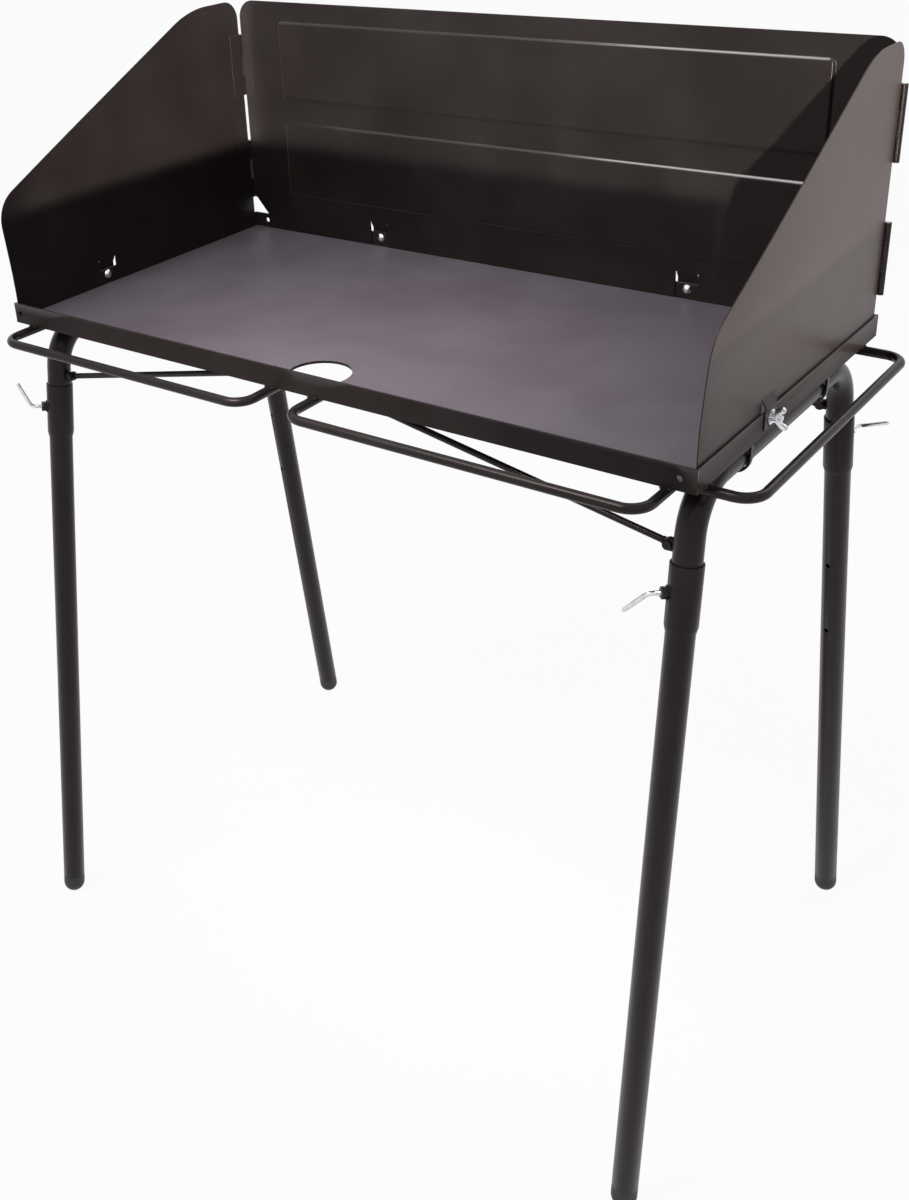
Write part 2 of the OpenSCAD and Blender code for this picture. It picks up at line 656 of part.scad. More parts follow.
// An embossed field: a low frustum whose sloped sides run on into the sheet, as the overlap of two outlines
module field(z0) {
  w = back_half - field_end;
  base = back_in + bend_lap;
  crest = back_in - field_rise;
  flare = bend_lap * field_edge / field_rise;
  intersection() {
    translate([0, 0, z0 - flare]) linear_extrude(field_h + 2 * flare)
      polygon([[-w - flare, base], [w + flare, base], [w - field_edge, crest], [-w + field_edge, crest]]);
    translate([-w - flare, 0, 0]) rotate([90, 0, 90]) linear_extrude(2 * (w + flare))
      polygon([[base, z0 - flare], [base, z0 + field_h + flare],
        [crest, z0 + field_h - field_edge], [crest, z0 + field_edge]]);
  }
}
field_z1 = panel_top - field_top - field_h;
field_z0 = field_z1 - field_band - field_h;
module panel_back() color(black) {
  difference() {
    union() {
      translate([0, back_out, 0]) rotate([90, 0, 0]) linear_extrude(panel_t) back_outline();
      for (z = [field_z0, field_z1]) field(z);
    }
    for (z = [field_z0, field_z1]) translate([0, panel_t, 0]) field(z);
  }
  for (s = [-1, 1]) translate([s * tab_back, half_w, 0]) rotate([0, 0, 90]) tab(tab_w);
}

// Hinges: leaves on the panels' inner faces, knuckles in the corner gap, a pin through all three
seg_h = (hinge_h - 2 * knuckle_gap) / 3;
function seg_z(i) = i * (seg_h + knuckle_gap);
module knuckle(i) translate([hinge_ax, hinge_ay, seg_z(i)]) difference() {
  cylinder(h = seg_h, r = knuckle_r);
  translate([0, 0, -1]) cylinder(h = seg_h + 2, r = pin_r + pin_gap);
}
module leaf_side() {
  difference() {
    union() {
      translate([side_in - leaf_t, side_rear - leaf_w, 0]) cube([leaf_t, leaf_w - leaf_t, hinge_h]);
      for (i = [0, 2]) translate([side_in - leaf_t, side_rear - leaf_w, seg_z(i)])
        cube([leaf_t, hinge_ay - side_rear + leaf_w, seg_h]);
    }
    translate([hinge_ax, hinge_ay, -1]) cylinder(h = hinge_h + 2, r = pin_r + pin_gap);
  }
  for (i = [0, 2]) knuckle(i);
}
module leaf_back() {
  difference() {
    union() {
      translate([side_in - leaf_w, back_in - leaf_t, 0]) cube([leaf_w - 3 * leaf_t, leaf_t, hinge_h]);
      translate([side_in - leaf_w, back_in - leaf_t, seg_z(1)])
        cube([hinge_ax - side_in + leaf_w, leaf_t, seg_h]);
    }
    translate([hinge_ax, hinge_ay, -1]) cylinder(h = hinge_h + 2, r = pin_r + pin_gap);
  }
  knuckle(1);
}
module each_hinge() for (z = [hinge_low, hinge_high]) translate([0, 0, rail_top + z]) children();
module hinge_leaves_back() color(black) for (m = [0, 1]) mirror([m, 0, 0]) each_hinge() leaf_back();
module hinge_leaves_left() color(black) mirror([1, 0, 0]) each_hinge() leaf_side();
module hinge_leaves_right() color(black) each_hinge() leaf_side();
module hinge_pins() color(zinc) for (m = [0, 1]) mirror([m, 0, 0]) each_hinge()
  translate([hinge_ax, hinge_ay, 0]) cylinder(h = hinge_h, r = pin_r);

// Tab bolts, washers and wing nuts: drawn with the bolt's axis along +X, X = 0 at the rail's outer face
module at_side(sx) translate([sx * half_l, tab_y, bolt_z]) mirror([sx < 0 ? 1 : 0, 0, 0]) children();
module at_back(s) translate([s * tab_back, half_w, bolt_z]) rotate([0, 0, 90]) children();
module each_tab() {
  for (sx = [-1, 1]) at_side(sx) children();
  for (s = [-1, 1]) at_back(s) children();
}
module bolt() {
  len = wing_at + wing_body_h + 3 + rail_t;
  translate([len / 2 - rail_t, 0, 0]) bar_x(len, bolt_r);
  cap_r = (pow(bolt_head_r, 2) + pow(bolt_head_h, 2)) / (2 * bolt_head_h);
  translate([-rail_t, 0, 0]) intersection() {
    translate([cap_r - bolt_head_h, 0, 0]) sphere(cap_r);
    translate([-bolt_head_h / 2, 0, 0]) bar_x(bolt_head_h, bolt_head_r + 1);
  }
}
module washer() translate([washer_at + washer_t / 2, 0, 0]) difference() {
  bar_x(washer_t, washer_r);
  bar_x(2 * washer_t, bolt_r + bolt_gap);
}
module wing_outline() {
  tip_r = 3;
  polygon([[wing_body_r - 2.2, 0], [wing_body_r, 0], [wing_reach - 0.5, wing_h - tip_r - 1.5],
    [wing_reach - 2 * tip_r + 0.6, wing_h - tip_r + 1.2], [wing_body_r - 2.2, wing_body_h]]);
  translate([wing_reach - tip_r, wing_h - tip_r]) circle(tip_r);
}
module wingnut() rotate([wing_turn, 0, 0]) translate([wing_at, 0, 0]) rotate([0, 90, 0]) difference() {
  union() {
    cylinder(h = wing_body_h, r1 = wing_body_r, r2 = wing_body_r * 0.85);
    for (m = [0, 1]) mirror([m, 0, 0]) rotate([90, 0, 0]) linear_extrude(wing_t, center = true) wing_outline();
  }
  translate([0, 0, -1]) cylinder(h = wing_h + 2, r = bolt_r + thread_gap);
}
module tab_bolts() color(zinc) each_tab() bolt();
module tab_washers() color(zinc) each_tab() washer();

module put(n) translate([-mid_x, 0, 0]) children();
put("plate") plate();
put("rail_front") rail_front();
put("rail_rear") rail_rear();
put("rail_left") rail_left();
put("rail_right") rail_right();
put("rack_front_left") rack_front_left();
put("rack_front_right") rack_front_right();
put("rack_side") rack_side();
put("saddles_left") saddles(-1);
put("saddles_right") saddles(1);
put("guides_left") guides(true);
put("guides_right") guides(false);
put("frame_left") leg_frame(-1);
put("frame_right") leg_frame(1);
put("stay_left") stay(true);
put("stay_right") stay(false);
put("stay_rivets_left") stay_rivets(-1);
put("stay_rivets_right") stay_rivets(1);
put("leg_fl") lower_leg(-1, -1);
put("leg_fr") lower_leg(1, -1);
put("leg_rl") lower_leg(-1, 1);
put("leg_rr") lower_leg(1, 1);
put("leg_nut_fl") leg_nut(-1, -1);
put("leg_nut_fr") leg_nut(1, -1);
put("leg_nut_rl") leg_nut(-1, 1);
put("leg_nut_rr") leg_nut(1, 1);
put("foot_fl") foot(-1, -1);
put("foot_fr") foot(1, -1);
put("foot_rl") foot(-1, 1);
put("foot_rr") foot(1, 1);
put("screw_fl") thumbscrew(-1, -1, 0);
put("screw_fr") thumbscrew(1, -1, -144);
put("screw_rl") thumbscrew(-1, 1, 180);
put("screw_rr") thumbscrew(1, 1, 78);
put("panel_back") panel_back();
put("panel_left") panel_left();
put("panel_right") panel_right();
put("hinge_leaves_back") hinge_leaves_back();
put("hinge_leaves_left") hinge_leaves_left();
put("hinge_leaves_right") hinge_leaves_right();
put("hinge_pins") hinge_pins();
put("tab_bolts") tab_bolts();
put("tab_washers") tab_washers();
put("wingnut_left") at_side(-1) wingnut();
put("wingnut_right") at_side(1) wingnut();
put("wingnut_back_l") at_back(-1) wingnut();
put("wingnut_back_r") at_back(1) wingnut();
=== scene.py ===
"""Looks of the folding cook table: finishes, rounded edges, welds, threads, studio and camera."""

import json
import logging
import math
from dataclasses import dataclass
from enum import Enum
from typing import Iterable, Sequence, Union

import bmesh
import bpy
from mathutils import Matrix, Vector


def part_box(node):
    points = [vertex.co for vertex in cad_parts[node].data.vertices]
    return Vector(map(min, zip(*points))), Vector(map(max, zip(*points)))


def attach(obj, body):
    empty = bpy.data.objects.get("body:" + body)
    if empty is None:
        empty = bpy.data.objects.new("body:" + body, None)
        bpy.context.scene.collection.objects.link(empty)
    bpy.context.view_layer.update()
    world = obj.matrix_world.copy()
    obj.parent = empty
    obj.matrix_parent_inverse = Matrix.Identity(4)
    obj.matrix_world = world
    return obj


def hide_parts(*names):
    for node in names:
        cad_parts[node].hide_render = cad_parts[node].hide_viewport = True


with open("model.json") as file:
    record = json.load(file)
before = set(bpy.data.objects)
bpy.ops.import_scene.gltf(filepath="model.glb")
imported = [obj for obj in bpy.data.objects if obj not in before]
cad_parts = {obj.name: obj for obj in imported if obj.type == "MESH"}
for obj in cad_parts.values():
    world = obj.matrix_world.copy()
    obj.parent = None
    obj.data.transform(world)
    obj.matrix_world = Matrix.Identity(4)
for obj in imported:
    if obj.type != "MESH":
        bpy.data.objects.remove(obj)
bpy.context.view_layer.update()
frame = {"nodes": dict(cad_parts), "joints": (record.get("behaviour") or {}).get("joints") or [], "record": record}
MM = 0.001
X, Y, Z = 0, 1, 2
BURNISHED = "burnished"
LOG = logging.getLogger("cook_table")

# Metres within which a cut or a merge takes points for one
CUT_GRIP = 1e-7
MERGE_GRIP = 1e-6
# Degrees by which faces may turn and still be joined up as one flat face
FLAT_TURN = 0.2
# Steps in the round of an edge
ROUND_STEPS = 2
# Colour sockets of a Mix node
MIX_A = 6
MIX_B = 7
MIX_RESULT = 2
# Part of a noise's range that is drawn out to the full 0 to 1
DRAWN_OUT = (0.3, 0.7)

Colour = tuple[float, float, float]
Point = tuple[float, float, float]
Spot = tuple[float, float]


class Slot(Enum):
    """The record's material slots that new pieces belong to."""

    PLATE = "cook_plate"
    COAT = "black_coat"
    PANEL = "panel_coat"
    ZINC = "zinc"


class Side(Enum):
    """The two ends of the table, as signs along X."""

    LEFT = -1
    RIGHT = 1


class Value:
    """A shader socket with the operators that number sockets need."""

    def __init__(self, graph: "Graph", socket: bpy.types.NodeSocket | None) -> None:
        """Wraps a socket of a graph."""
        self.graph = graph
        self.socket = socket

    def _math(self, operation: str, first: "Number", second: "Number") -> "Value":
        """Adds one Math node and returns its result."""
        return self.graph.node("ShaderNodeMath", {"operation": operation}, {0: first, 1: second})

    def __add__(self, other: "Number") -> "Value":
        """Sum."""
        return self._math("ADD", self, other)

    __radd__ = __add__

    def __sub__(self, other: "Number") -> "Value":
        """Difference."""
        return self._math("SUBTRACT", self, other)

    def __mul__(self, other: "Number") -> "Value":
        """Product."""
        return self._math("MULTIPLY", self, other)

    def __gt__(self, other: "Number") -> "Value":
        """1 where this is greater, else 0."""
        return self._math("GREATER_THAN", self, other)

    def smooth(self, low: float, high: float) -> "Value":
        """A smooth step from 0 at low to 1 at high."""
        settings = {"interpolation_type": "SMOOTHSTEP"}
        inputs = {"Value": self, "From Min": low, "From Max": high}
        return self.graph.node("ShaderNodeMapRange", settings, inputs)


Number = Union[Value, float]
Shade = Union[Value, Colour]


class Graph:
    """The node tree of one material or world."""

    def __init__(self, tree: bpy.types.NodeTree) -> None:
        """Empties the tree and starts on it."""
        self.tree = tree
        tree.nodes.clear()

    def node(self, kind: str, settings: dict, inputs: dict, output: Union[int, str] = 0) -> Value:
        """Adds a node.

        Args:
            kind: the node's type.
            settings: its properties, set before its sockets.
            inputs: socket name or index to a value or a link.
            output: which output to return.

        Returns:
            The chosen output.
        """
        made = self.tree.nodes.new(kind)
        for name, setting in settings.items():
            setattr(made, name, setting)
        for name, value in inputs.items():
            if isinstance(value, Value):
                self.tree.links.new(value.socket, made.inputs[name])
            else:
                made.inputs[name].default_value = value
        return Value(self, made.outputs[output] if made.outputs else None)

    def place(self) -> Value:
        """Object coordinates, in metres."""
        return self.node("ShaderNodeTexCoord", {}, {}, "Object")

    def mark(self, name: str) -> Value:
        """A mark from 0 to 1 that a mesh carries at its vertices, 0 where it has none."""
        return self.node("ShaderNodeAttribute", {"attribute_name": name}, {}, "Fac")

    def noise(self, size: float, detail: float = 2.0, stretch: Point = (1, 1, 1)) -> Value:
        """Noise with spots of about size metres, stretched along the axes."""
        where = self.node("ShaderNodeMapping", {}, {"Vector": self.place(), "Scale": stretch})
        return self.node("ShaderNodeTexNoise", {}, {"Vector": where, "Scale": 1 / size, "Detail": detail})

    def blend(self, mask: Value, low: Shade, high: Shade) -> Value:
        """A colour between low and high, by a mask from 0 to 1."""
        ends = [end if isinstance(end, Value) else (*end, 1.0) for end in (low, high)]
        inputs = {"Factor": mask, MIX_A: ends[0], MIX_B: ends[1]}
        return self.node("ShaderNodeMix", {"data_type": "RGBA"}, inputs, MIX_RESULT)

    def bump(self, height: Value, depth: float) -> Value:
        """A normal from a height, whose full range is depth metres."""
        return self.node("ShaderNodeBump", {}, {"Height": height, "Distance": depth, "Strength": 1.0})

    def surface(self, inputs: dict) -> None:
        """Ends the tree in a Principled shader with these inputs."""
        shader = self.node("ShaderNodeBsdfPrincipled", {}, inputs)
        self.node("ShaderNodeOutputMaterial", {}, {"Surface": shader})


def new_graph(name: str) -> tuple[bpy.types.Material, Graph]:
    """A new node material and its graph."""
    material = bpy.data.materials.new(name)
    material.use_nodes = True
    return material, Graph(material.node_tree)


@dataclass(frozen=True)
class PowderCoat:
    """Baked black powder: orange peel, faint clouds, fine pale specks, glossy where it is burnished.

    Attributes:
        name: the material's name.
        dark, light: the ends of its colour.
        gloss: its least roughness.
        peel, cloud, speck: how wide the bumps, clouds and specks are.
        peel_depth: how deep the bumps are.
        speck_from, speck_to: the part of the noise over which specks come in.
        speck_gain, speck_lift: how much paler than the light end specks are.
        speck_weight: how strongly they show.
        sheen, tint: the strength and colour of its reflections.
        unevenness: how much bumps and clouds add to the roughness.
        dust, dust_tint, dust_gloss: strength, colour and roughness of a dusty bloom.
        burnish, burnish_gloss: strength and roughness of the shine where the mesh is marked as burnished.
    """

    name: str
    dark: Colour
    light: Colour
    gloss: float
    peel: float = 1.6 * MM
    peel_depth: float = 0.012 * MM
    cloud: float = 60 * MM
    speck: float = 0.5 * MM
    speck_from: float = 0.72
    speck_to: float = 0.80
    speck_gain: float = 2.2
    speck_lift: float = 0.01
    speck_weight: float = 0.5
    sheen: float = 0.5
    tint: Colour = (1.0, 0.80, 0.78)
    unevenness: float = 0.06
    dust: float = 0.0
    dust_tint: Colour = (1.0, 0.66, 0.63)
    dust_gloss: float = 0.4
    burnish: float = 0.0
    burnish_gloss: float = 0.08

    def material(self) -> bpy.types.Material:
        """Builds the material."""
        material, g = new_graph(self.name)
        cloud = g.noise(self.cloud, detail=3.0).smooth(*DRAWN_OUT)
        speck = g.noise(self.speck, detail=1.0).smooth(self.speck_from, self.speck_to)
        peel = g.noise(self.peel)
        body = g.blend(cloud, self.dark, self.light)
        pale = tuple(min(1.0, self.speck_gain * c + self.speck_lift) for c in self.light)
        g.surface({
            "Base Color": g.blend(speck * self.speck_weight, body, pale),
            "Roughness": self.gloss + (cloud + peel) * self.unevenness,
            "Specular IOR Level": self.sheen,
            "Specular Tint": (*self.tint, 1.0),
            "Sheen Weight": self.dust,
            "Sheen Roughness": self.dust_gloss,
            "Sheen Tint": (*self.dust_tint, 1.0),
            "Coat Weight": g.mark(BURNISHED) * self.burnish if self.burnish else 0.0,
            "Coat Roughness": self.burnish_gloss,
            "Normal": g.bump(peel, self.peel_depth),
        })
        return material


@dataclass(frozen=True)
class PlateSteel:
    """Heat-proof coat on the cook plate: mauve grey, mottled, finely grained.

    Attributes:
        name: the material's name.
        dark, light: the ends of its colour.
        gloss: its roughness, before flecks and mottling.
        mottle, fleck, speckle, grain: how wide each pattern's spots are.
        grain_depth: how deep the grain is.
        mottle_range: the part of its noise that is drawn out to the full range.
        fleck_stretch: scale of the flecks along the axes.
        mottle_share, fleck_share, speckle_share: each pattern's share in the colour.
        fleck_matt, mottle_shine: how much flecks roughen and mottling smooths the coat.
    """

    name: str
    dark: Colour
    light: Colour
    gloss: float = 0.42
    mottle: float = 90 * MM
    fleck: float = 7 * MM
    speckle: float = 2.4 * MM
    grain: float = 0.7 * MM
    grain_depth: float = 0.02 * MM
    mottle_range: tuple[float, float] = (0.28, 0.72)
    fleck_stretch: Point = (0.5, 1.0, 1.0)
    mottle_share: float = 0.5
    fleck_share: float = 0.3
    speckle_share: float = 0.2
    fleck_matt: float = 0.12
    mottle_shine: float = 0.05

    def material(self) -> bpy.types.Material:
        """Builds the material."""
        material, g = new_graph(self.name)
        mottle = g.noise(self.mottle, detail=4.0).smooth(*self.mottle_range)
        fleck = g.noise(self.fleck, detail=5.0, stretch=self.fleck_stretch)
        grain = g.noise(self.grain)
        speckle = g.noise(self.speckle).smooth(*DRAWN_OUT)
        tone = mottle * self.mottle_share + fleck * self.fleck_share + speckle * self.speckle_share
        g.surface({
            "Base Color": g.blend(tone, self.dark, self.light),
            "Roughness": self.gloss + fleck * self.fleck_matt - mottle * self.mottle_shine,
            "Normal": g.bump(grain, self.grain_depth),
        })
        return material


@dataclass(frozen=True)
class ZincPlate:
    """Bright zinc on small steel pieces, a little cloudy and drawn.

    Attributes:
        name: the material's name.
        dark, light: the ends of its colour.
        gloss: its least roughness.
        cloud, grain: how wide the clouds and the grain are.
        cloud_matt, grain_matt: how much they add to the roughness.
        grain_depth: how deep the grain is.
    """

    name: str
    dark: Colour = (0.60, 0.61, 0.63)
    light: Colour = (0.76, 0.77, 0.79)
    gloss: float = 0.13
    cloud: float = 4 * MM
    cloud_matt: float = 0.06
    grain: float = 0.4 * MM
    grain_matt: float = 0.04
    grain_depth: float = 0.002 * MM

    def material(self) -> bpy.types.Material:
        """Builds the material."""
        material, g = new_graph(self.name)
        cloud = g.noise(self.cloud, detail=3.0).smooth(*DRAWN_OUT)
        grain = g.noise(self.grain)
        g.surface({
            "Base Color": g.blend(cloud, self.dark, self.light),
            "Metallic": 1.0,
            "Roughness": self.gloss + cloud * self.cloud_matt + grain * self.grain_matt,
            "Normal": g.bump(grain, self.grain_depth),
        })
        return material


@dataclass(frozen=True)
class FootRubber:
    """Moulded rubber, matt, with a dusty bloom.

    Attributes:
        name: the material's name.
        dark, light: the ends of its colour.
        gloss: its least roughness.
        bloom, grain: how wide the bloom's spots and the grain are.
        bloom_range: the part of its noise that is drawn out to the full range.
        bloom_matt: how much the bloom adds to the roughness.
        grain_depth: how deep the grain is.
    """

    name: str
    dark: Colour = (0.010, 0.010, 0.010)
    light: Colour = (0.022, 0.021, 0.020)
    gloss: float = 0.5
    bloom: float = 9 * MM
    bloom_range: tuple[float, float] = (0.35, 0.7)
    bloom_matt: float = 0.15
    grain: float = 0.8 * MM
    grain_depth: float = 0.02 * MM

    def material(self) -> bpy.types.Material:
        """Builds the material."""
        material, g = new_graph(self.name)
        bloom = g.noise(self.bloom, detail=3.0).smooth(*self.bloom_range)
        grain = g.noise(self.grain)
        g.surface({
            "Base Color": g.blend(bloom, self.dark, self.light),
            "Roughness": self.gloss + bloom * self.bloom_matt,
            "Normal": g.bump(grain, self.grain_depth),
        })
        return material


Finish = Union[PowderCoat, PlateSteel, ZincPlate, FootRubber]

SHEET_DARK = (0.0070, 0.0057, 0.0054)
SHEET_LIGHT = (0.0104, 0.0087, 0.0083)
TUBE_COAT = PowderCoat("tube_coat", (0.0085, 0.0070, 0.0070), (0.0140, 0.0118, 0.0118), 0.24, sheen=0.22)
RAIL_COAT = PowderCoat("rail_coat", (0.0072, 0.0058, 0.0055), (0.0112, 0.0094, 0.0090), 0.42,
                       sheen=0.12, dust=0.17, burnish=0.8)
PANEL_COAT = PowderCoat("panel_coat", SHEET_DARK, SHEET_LIGHT, 0.30, peel=1.8 * MM, peel_depth=0.014 * MM,
                        sheen=0.16, unevenness=0.03, dust=0.10, burnish=1.0)
HINGE_COAT = PowderCoat("hinge_coat", SHEET_DARK, SHEET_LIGHT, 0.28, sheen=0.18, dust=0.08)
PLATE_COAT = PlateSteel("plate_coat", (0.073, 0.058, 0.071), (0.118, 0.100, 0.118))
ZINC = ZincPlate("zinc_plate")
RUBBER = FootRubber("foot_rubber")

BODY_OF = {node: body for body, nodes in frame["record"]["behaviour"]["bodies"].items() for node in nodes}


class Workshop:
    """Makes pieces, gives them their finish and puts them on their bodies."""

    def __init__(self) -> None:
        """Starts with no materials made."""
        self.made: dict[str, bpy.types.Material] = {}

    def paint(self, finish: Finish) -> bpy.types.Material:
        """The finish's material, made once."""
        if finish.name not in self.made:
            self.made[finish.name] = finish.material()
        return self.made[finish.name]

    def keep(self, nodes: Iterable[str], finish: Finish) -> None:
        """Gives CAD nodes whose shape is right their finish."""
        for node in nodes:
            thing = frame["nodes"][node]
            thing.data.materials.clear()
            thing.data.materials.append(self.paint(finish))
            LOG.info("kept %s in %s", node, finish.name)

    def copy_mesh(self, node: str) -> bmesh.types.BMesh:
        """A merged copy of a CAD node's mesh, with flat faces joined up."""
        bm = bmesh.new()
        bm.from_mesh(frame["nodes"][node].data)
        bmesh.ops.remove_doubles(bm, verts=bm.verts, dist=MERGE_GRIP)
        bmesh.ops.dissolve_limit(bm, angle_limit=math.radians(FLAT_TURN), verts=bm.verts, edges=bm.edges)
        return bm

    def add(self, name: str, bm: bmesh.types.BMesh, finish: Finish, slot: Slot, body: str,
            replaces: Sequence[str] = (), sharp: float = 35.0, flat: bool = False) -> bpy.types.Object:
        """Turns a bmesh into a piece that rides on a body.

        Args:
            name: the piece's name.
            bm: its mesh, in place; freed here.
            finish: its finish.
            slot: the record's slot for it; not used.
            body: the body it moves with.
            replaces: the CAD nodes it stands for.
            sharp: edges sharper than this, in degrees, stay crisp.
            flat: whether its broad faces are shaded flat up to their rounded edges.

        Returns:
            The new object.
        """
        mesh = bpy.data.meshes.new(name)
        bm.to_mesh(mesh)
        bm.free()
        mesh.polygons.foreach_set("use_smooth", [True] * len(mesh.polygons))
        mesh.set_sharp_from_angle(angle=math.radians(sharp))
        mesh.materials.append(self.paint(finish))
        piece = bpy.data.objects.new(name, mesh)
        bpy.context.scene.collection.objects.link(piece)
        if flat:
            piece.modifiers.new("broad_faces", "WEIGHTED_NORMAL").keep_sharp = True
        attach(piece, body)
        if replaces:
            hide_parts(*replaces)
        LOG.info("made %s, %d faces, on %s", name, len(mesh.polygons), body)
        return piece

    def round_copy(self, node: str, finish: Finish, slot: Slot, width: float,
                   flat: bool = False) -> bpy.types.Object:
        """A copy of a CAD node with its edges rounded, which takes the node's place.

        Args:
            node: the CAD node.
            finish: its finish.
            slot: the record's slot.
            width: the rounding, in metres.
            flat: whether its broad faces are shaded flat up to their rounded edges.

        Returns:
            The new object.
        """
        bm = self.copy_mesh(node)
        round_edges(bm, width)
        return self.add(node + "_dressed", bm, finish, slot, BODY_OF[node], [node], flat=flat)


def round_edges(bm: bmesh.types.BMesh, width: float, least: float = 38.0) -> None:
    """Bevels every edge whose faces turn by more than least degrees."""
    edges = [e for e in bm.edges if len(e.link_faces) == 2 and e.calc_face_angle(0.0) > math.radians(least)]
    bmesh.ops.bevel(bm, geom=edges, offset=width, offset_type="OFFSET", segments=ROUND_STEPS, profile=0.5,
                    affect="EDGES", clamp_overlap=True, material=-1)


def trim_whiskers(bm: bmesh.types.BMesh, least: float = 1.0) -> int:
    """Pulls in points as thin as a hair, which a rounded corner can leave on an outline.

    Args:
        bm: the mesh.
        least: corners of fewer degrees are taken for whiskers.

    Returns:
        How many points were pulled in.
    """
    targets = {}
    for face in bm.faces:
        for corner in face.loops:
            if corner.calc_angle() < math.radians(least):
                sides = (corner.edge, corner.link_loop_prev.edge)
                shorter = min(sides, key=bmesh.types.BMEdge.calc_length)
                targets[corner.vert] = shorter.other_vert(corner.vert)
    bmesh.ops.weld_verts(bm, targetmap=targets)
    return len(targets)


def slice_grid(bm: bmesh.types.BMesh, axis: int, places: Iterable[float]) -> None:
    """Cuts the whole mesh at each place along an axis, so that it can bend there."""
    normal = Vector((0, 0, 0))
    normal[axis] = 1.0
    for place in places:
        geom = bm.verts[:] + bm.edges[:] + bm.faces[:]
        bmesh.ops.bisect_plane(bm, geom=geom, dist=CUT_GRIP, plane_co=normal * place, plane_no=normal)


def spaced(low: float, high: float, count: int) -> list[float]:
    """count + 1 even places from low to high."""
    return [low + (high - low) * i / count for i in range(count + 1)]


def smoothstep(value: float, low: float, high: float) -> float:
    """0 below low, 1 above high, smooth between."""
    t = min(1.0, max(0.0, (value - low) / (high - low)))
    return t * t * (3 - 2 * t)


def arc(centre: Spot, radius: float, start: float, end: float, steps: int) -> list[Spot]:
    """Points on an arc, angles in degrees."""
    angles = [math.radians(angle) for angle in spaced(start, end, steps)]
    return [(centre[0] + radius * math.cos(a), centre[1] + radius * math.sin(a)) for a in angles]


@dataclass
class Welds:
    """Short weld beads: a row of overlapping ripples.

    Attributes:
        shop: where the pieces are made.
        width: width of a bead.
        pitch: distance between ripples.
        squat: height of a bead over half its width.
        swell: share by which the ripples' width goes up and down.
        beat: radians of that change from ripple to ripple.
    """

    shop: Workshop
    width: float
    pitch: float = 2.2 * MM
    squat: float = 0.7
    swell: float = 0.12
    beat: float = 2.4

    def bead(self, bm: bmesh.types.BMesh, start: Vector, end: Vector) -> None:
        """Adds one bead between two points."""
        run = end - start
        count = max(2, round(run.length / self.pitch))
        turn = run.to_track_quat("X", "Z").to_matrix().to_4x4()
        for i in range(count + 1):
            half = self.width / 2 * (1.0 + self.swell * math.sin(self.beat * i))
            shape = Matrix.Diagonal((self.pitch, half, half * self.squat, 1.0))
            where = Matrix.Translation(start + run * (i / count)) @ turn @ shape
            bmesh.ops.create_icosphere(bm, subdivisions=2, radius=1.0, matrix=where)

    def make(self, name: str, lines: Sequence[tuple[Point, Point]], body: str) -> bpy.types.Object:
        """One piece of several beads."""
        bm = bmesh.new()
        for start, end in lines:
            self.bead(bm, Vector(start), Vector(end))
        return self.shop.add(name, bm, TUBE_COAT, Slot.COAT, body)


@dataclass
class Tray:
    """Cook plate, rails, and what is welded under them.

    Attributes:
        shop: where the pieces are made.
        rail_edge, plate_edge, strap_edge: roundings of the rails, the plate, the saddles and guides.
        border: width of the plate's rim, whose faces don't count as the hand hole's.
        wall_lean: most that the normal of the hand hole's wall may point up or down.
    """

    shop: Workshop
    rail_edge: float = 0.8 * MM
    plate_edge: float = 0.35 * MM
    border: float = 10 * MM
    wall_lean: float = 0.5
    strap_edge: float = 0.4 * MM

    def build(self) -> None:
        """Makes the plate, the rails, the saddles and the guides."""
        self.plate()
        for name in ("front", "rear", "left", "right"):
            self.rail("rail_" + name)
        for side in ("left", "right"):
            self.shop.round_copy("saddles_" + side, TUBE_COAT, Slot.COAT, self.strap_edge, flat=True)
            self.shop.round_copy("guides_" + side, TUBE_COAT, Slot.COAT, self.strap_edge, flat=True)

    def plate(self) -> None:
        """The plate, with the wall of its hand hole painted as black as the rails, as painted shade in the hole.
        """
        bm = self.shop.copy_mesh("plate")
        round_edges(bm, self.plate_edge)
        low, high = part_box("plate")
        for face in bm.faces:
            spot = face.calc_center_median()
            inside = all(low[i] + self.border < spot[i] < high[i] - self.border for i in (X, Y))
            # painted shade: the hand hole's wall takes the rails' black coat, standing for the shade seen in the
            # hole
            face.material_index = int(inside and abs(face.normal.z) < self.wall_lean)
        body = BODY_OF["plate"]
        piece = self.shop.add("plate_dressed", bm, PLATE_COAT, Slot.PLATE, body, ["plate"], flat=True)
        piece.data.materials.append(self.shop.paint(RAIL_COAT))

    def rail(self, node: str) -> None:
        """A rail whose rounded top edge is burnished by the pans that slide over it."""
        bm = self.shop.copy_mesh(node)
        round_edges(bm, self.rail_edge)
        burnished = bm.verts.layers.float.new(BURNISHED)
        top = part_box(node)[1][Z]
        for vert in bm.verts:
            vert[burnished] = smoothstep(vert.co.z, top - self.rail_edge, top)
        self.shop.add(node + "_dressed", bm, RAIL_COAT, Slot.COAT, BODY_OF[node], [node], flat=True)


